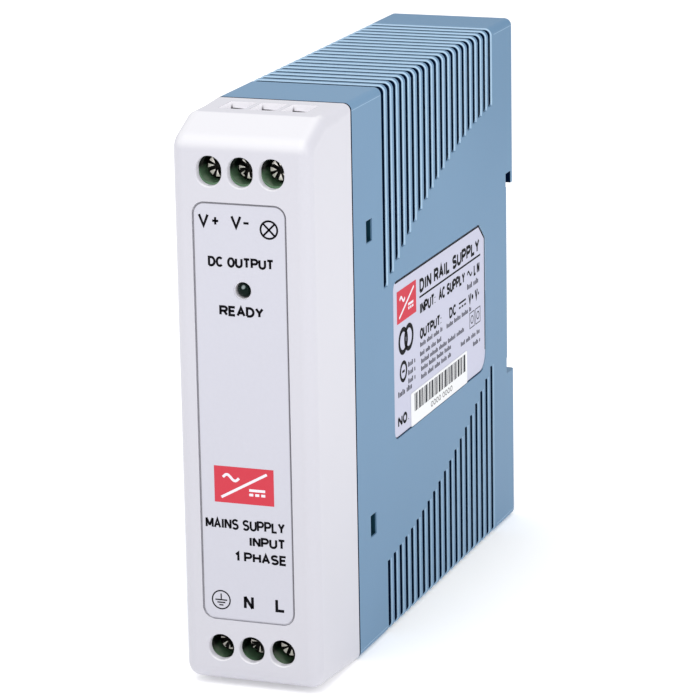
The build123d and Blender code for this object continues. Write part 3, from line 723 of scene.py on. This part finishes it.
class Ink:
    """Flat shapes in one colour, laid out in millimetres and printed on a face as one piece."""

    thickness, sunk, layer_step = 0.02, 0.005, 0.008
    sharpest = 0.45     # least cosine that a mitre is drawn for, so that sharp turns stay short

    def __init__(self):
        self.shapes = bmesh.new()

    def polygon(self, points):
        self.shapes.faces.new([self.shapes.verts.new((x, y, 0)) for x, y in points])

    def bar(self, across, up):
        """Rectangle between two limits each way."""
        (x0, x1), (y0, y1) = across, up
        self.polygon([(x0, y0), (x1, y0), (x1, y1), (x0, y1)])

    def ring(self, x, y, radius, stroke):
        """Circle drawn as a line `stroke` wide, inside `radius`."""
        sides = 48
        turns = [2 * math.pi * n / sides for n in range(sides)]
        outer, inner = [[self.shapes.verts.new((x + math.cos(a) * r, y + math.sin(a) * r, 0))
                         for a in turns] for r in (radius, radius - stroke)]
        for n in range(sides):
            m = (n + 1) % sides
            self.shapes.faces.new([outer[n], outer[m], inner[m], inner[n]])

    def stroke(self, points, width):
        """Ribbon of even width along a line of points, mitred where the line turns."""
        left, right = [], []
        for n, (x, y) in enumerate(points):
            normals = []
            for a, b in ((n - 1, n), (n, n + 1)):
                if a >= 0 and b < len(points):
                    dx, dy = points[b][0] - points[a][0], points[b][1] - points[a][1]
                    length = math.hypot(dx, dy)
                    if length > 1e-6:
                        normals.append((-dy / length, dx / length))
            nx, ny = sum(u for u, v in normals), sum(v for u, v in normals)
            length = math.hypot(nx, ny)
            nx, ny = nx / length, ny / length
            reach = width / 2 / max(self.sharpest, nx * normals[0][0] + ny * normals[0][1])
            left.append(self.shapes.verts.new((x + nx * reach, y + ny * reach, 0)))
            right.append(self.shapes.verts.new((x - nx * reach, y - ny * reach, 0)))
        for n in range(len(points) - 1):
            self.shapes.faces.new([right[n], right[n + 1], left[n + 1], left[n]])

    def wave(self, across, level, height, width):
        """One period of an alternating-current sign."""
        steps = 24
        x0, x1 = across
        self.stroke([(x0 + (x1 - x0) * n / steps,
                      level + height / 2 * math.sin(2 * math.pi * n / steps))
                     for n in range(steps + 1)], width)

    def text(self, words, across, up, weight):
        """A line of plain capitals fitted to the rectangle between two limits each way."""
        widths = [LETTER_WIDTHS.get(letter, LETTER_WIDTH) for letter in words]
        total = sum(widths) + LETTER_GAP * (len(words) - 1)
        stretch = (across[1] - across[0] - weight) / total
        rise = (up[1] - up[0] - weight) / LETTER_RISE
        x = across[0] + weight / 2
        for letter, wide in zip(words, widths):
            for line in LETTERS[letter]:
                self.stroke([(x + u * stretch, up[0] + weight / 2 + v * rise) for u, v in line],
                            weight)
            x += (wide + LETTER_GAP) * stretch

    def small_print(self, across, up, height, count):
        """A run of print too small to read: short strokes grouped like the letters of words."""
        letter, x, n = height * 0.72, across[0], 0
        while x + letter < across[1]:
            tall = height * (0.72 + 0.28 * (n * n % 3 == 0))
            self.bar((x, x + letter * 0.62), (up, up + tall))
            n += 1
            x += letter * (2.0 if n % count == 0 else 1.0)

    def lay(self, name, face, material, layer=0):
        """Thicken the shapes into closed solids, put them on the face and fix them to the case."""
        made = self.shapes
        top = bmesh.ops.extrude_face_region(made, geom=made.faces[:], use_keep_orig=True)
        raised = [part for part in top["geom"] if isinstance(part, bmesh.types.BMVert)]
        bmesh.ops.translate(made, vec=(0, 0, self.thickness), verts=raised)
        bmesh.ops.recalc_face_normals(made, faces=made.faces[:])
        mesh = bpy.data.meshes.new(name)
        made.to_mesh(mesh)
        made.free()
        lift = layer * self.layer_step - self.sunk
        mesh.transform(face.matrix() @ Matrix.Translation((0, 0, lift)))
        mesh.materials.append(material)
        piece = bpy.data.objects.new(name, mesh)
        bpy.context.scene.collection.objects.link(piece)
        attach(piece, "enclosure")


def converter_sign(across, up, line):
    """Slanted line between an alternating-current sign and a direct-current sign."""
    sign = Ink()
    (x0, x1), (y0, y1) = across, up
    wide, tall = x1 - x0, y1 - y0
    sign.stroke([(x0 + wide * 0.04, y0 + tall * 0.06), (x1 - wide * 0.04, y1 - tall * 0.06)], line)
    sign.wave((x0 + wide * 0.08, x0 + wide * 0.40), y0 + tall * 0.74, tall * 0.20, line)
    sign.bar((x0 + wide * 0.60, x0 + wide * 0.92), (y0 + tall * 0.32, y0 + tall * 0.32 + line))
    for n in range(3):
        x = x0 + wide * (0.60 + 0.12 * n)
        sign.bar((x, x + wide * 0.08), (y0 + tall * 0.17, y0 + tall * 0.17 + line))
    return sign


def direct_sign(marks, across, up, line):
    """Direct-current sign: a bar over three dashes."""
    (x0, x1), (y0, y1) = across, up
    marks.bar(across, (y1 - line, y1))
    dash = (x1 - x0) * 0.24
    for n in range(3):
        x = x0 + (x1 - x0 - dash) * n / 2
        marks.bar((x, x + dash), (y0, y0 + line))


def lamp_sign(marks, x, z):
    """Circle with a cross in it."""
    line, reach = 0.30, 1.28
    marks.ring(x, z, 1.50, line)
    for turn in (45, 135):
        dx, dy = reach * math.cos(math.radians(turn)), reach * math.sin(math.radians(turn))
        marks.stroke([(x - dx, z - dy), (x + dx, z + dy)], line)


def earth_sign(marks, x, z):
    """Upright and three shrinking bars in a circle."""
    half_line = 0.10
    marks.ring(x, z, 1.58, 0.21)
    marks.bar((x - half_line, x + half_line), (z + 0.12, z + 1.0))
    for half, rise in ((0.98, 0.0), (0.66, -0.42), (0.34, -0.84)):
        marks.bar((x - half, x + half), (z + rise - half_line, z + rise + half_line))


# Captions: words, limits across, limits up, weight of the line
FRONT_CAPTIONS = (
    ("V", (-7.00, -5.20), (73.58, 75.68), 0.40),
    ("+", (-4.85, -3.50), (73.35, 75.85), 0.36),
    ("V", (-1.70, 0.10), (73.56, 75.66), 0.40),
    ("DC OUTPUT", (-5.55, 5.20), (67.48, 69.12), 0.37),
    ("READY", (-3.90, 3.35), (59.88, 61.52), 0.39),
    ("MAINS SUPPLY", (-7.15, 6.00), (25.90, 27.65), 0.34),
    ("INPUT", (0.00, 6.05), (23.38, 25.02), 0.37),
    ("1 PHASE", (-2.40, 6.20), (20.78, 22.42), 0.37),
    ("N", (-1.11, 0.56), (13.10, 15.42), 0.46),
    ("L", (4.12, 5.80), (13.18, 15.40), 0.46),
)
SIDE_CAPTIONS = (
    ("DIN RAIL SUPPLY", (-0.30, 31.10), (52.60, 55.00), 0.58),
    ("INPUT:  AC SUPPLY", (-0.30, 23.20), (48.95, 50.95), 0.47),
    ("L N", (28.00, 31.10), (48.95, 50.95), 0.47),
    ("OUTPUT:", (-0.40, 10.70), (44.75, 46.65), 0.47),
    ("DC", (14.75, 18.40), (44.60, 46.50), 0.44),
    ("V+ V-", (25.00, 30.95), (44.55, 46.55), 0.47),
    ("NO.", (-11.70, -6.20), (32.75, 34.65), 0.50),
)
# Runs of small print: limits across, foot, height, letters to a word
SIDE_SMALL_PRINT = (
    ((24.40, 30.90), 47.35, 0.95, 4),
    ((-6.40, -2.20), 41.70, 0.85, 4),
    ((-6.40, -2.20), 40.30, 0.85, 4),
    ((-6.40, -2.20), 38.90, 0.85, 4),
    ((-11.40, -4.10), 37.75, 0.95, 5),
    ((13.30, 26.70), 43.30, 0.80, 6),
    ((-0.30, 11.60), 43.50, 0.80, 5),
    ((-0.40, 11.20), 41.95, 0.80, 4),
    ((0.10, 22.70), 40.60, 0.80, 7),
    ((0.0, 16.40), 39.35, 0.80, 6),
    ((0.0, 16.10), 38.00, 0.80, 5),
    ((20.70, 31.50), 38.30, 0.80, 4),
    ((27.30, 31.40), 36.70, 0.80, 5),
)


def print_front(inks):
    """Terminal names and generic captions on the front film."""
    face = Face((0, panel_low.y, 0), (1, 0, 0), (0, 0, 1))
    marks = Ink()
    for caption in FRONT_CAPTIONS:
        marks.text(*caption)
    marks.bar((0.40, 1.25), (74.33, 74.69))     # the second terminal's minus sign
    lamp_sign(marks, 4.50, 73.70)
    earth_sign(marks, -4.88, 14.30)
    marks.lay("print_front_black", face, inks["black"])

    patch = Ink()
    patch.bar((-5.50, 4.33), (30.20, 36.03))
    patch.lay("print_front_red", face, inks["red"])
    sign = converter_sign((-4.70, 3.55), (30.75, 35.50), 0.42)
    sign.lay("print_front_white", face, inks["white"], layer=1)


def print_side(inks):
    """Rating plate: generic captions, symbols and runs of small print."""
    face = Face((plate_high.x, 0, 0), (0, 1, 0), (0, 0, 1))
    marks = Ink()
    for caption in SIDE_CAPTIONS:
        marks.text(*caption)
    marks.bar((-0.40, 31.60), (51.80, 52.12))   # line under the heading
    marks.wave((24.40, 27.00), 49.95, 0.9, 0.34)
    direct_sign(marks, (19.90, 23.60), (45.05, 46.15), 0.32)
    for y in (-8.70, -5.90):
        marks.ring(y, 46.70, 2.30, 0.80)
    marks.ring(-8.75, 41.60, 1.80, 0.60)
    marks.bar((-9.35, -8.15), (41.40, 41.80))

    # Painted shadow of the recess's edge: an ink line along the plate's top, cut corner and rear
    # edge
    edge_y, edge_z = plate_high.y - 0.12, plate_high.z - 0.12
    marks.stroke([(plate_low.y + 1.1, edge_z), (edge_y - 3.1, edge_z), (edge_y, edge_z - 2.7),
                  (edge_y, plate_low.z + 3.2)], 0.26)
    marks.lay("print_side_black_and_shade_line", face, inks["black"])

    small = Ink()
    for run in SIDE_SMALL_PRINT:
        small.small_print(*run)

    # Two boxes with a ring in each
    side, line, foot, top = 2.70, 0.15, 40.20, 43.00
    for y in (25.50, 28.70):
        small.bar((y, y + side), (foot, foot + line))
        small.bar((y, y + side), (top - line, top))
        small.bar((y, y + line), (foot + line, top - line))
        small.bar((y + side - line, y + side), (foot + line, top - line))
        small.ring(y + side / 2, (foot + top) / 2, 0.75, 0.2)
    small.lay("print_side_small", face, inks["grey"])

    patch = Ink()
    patch.bar((-11.55, -2.10), (50.00, 55.40))
    patch.lay("print_side_red", face, inks["red"])
    sign = converter_sign((-10.80, -2.90), (50.55, 54.85), 0.42)
    sign.lay("print_side_white", face, inks["white"], layer=1)


def print_sticker(inks):
    """A band of plain bars that encode nothing, over a row of noughts."""
    face = Face((sticker_face, 0, 0), (0, 1, 0), (0, 0, 1))
    bar_widths, gaps = (0.26, 0.52, 0.26, 0.78), (0.30, 0.30, 0.55)
    start, last_start, end = -3.70, 22.70, 22.85
    bars = Ink()
    y, n = start, 0
    while y < last_start:
        wide = bar_widths[n % len(bar_widths)]
        bars.bar((y, min(y + wide, end)), (33.50, 36.50))
        y += wide + gaps[n % len(gaps)]
        n += 1
    bars.lay("print_sticker_bars", face, inks["grey"])
    number = Ink()
    number.text("0000 0000", (4.50, 15.60), (32.00, 32.95), 0.12)
    number.lay("print_sticker_number", face, inks["black"])


add_world()
dress_nodes(make_finishes())
add_return_spring()
add_floor()
add_camera()

inks = {
    "black": ink("ink_black", (0.002, 0.002, 0.004)),
    "grey": ink("ink_grey", (0.012, 0.012, 0.02)),
    "red": ink("ink_red", (0.60, 0.055, 0.08)),
    "white": ink("ink_white", (0.80, 0.78, 0.84)),
}
print_front(inks)
print_side(inks)
print_sticker(inks)

add_softbox("overhead", place=(-0.05, -0.25, 0.75), side=0.6, power=1.9)
add_softbox("right_fill", place=(0.85, -0.40, 0.35), side=0.5, power=1.3)

bpy.context.scene.view_settings.view_transform = "Standard"
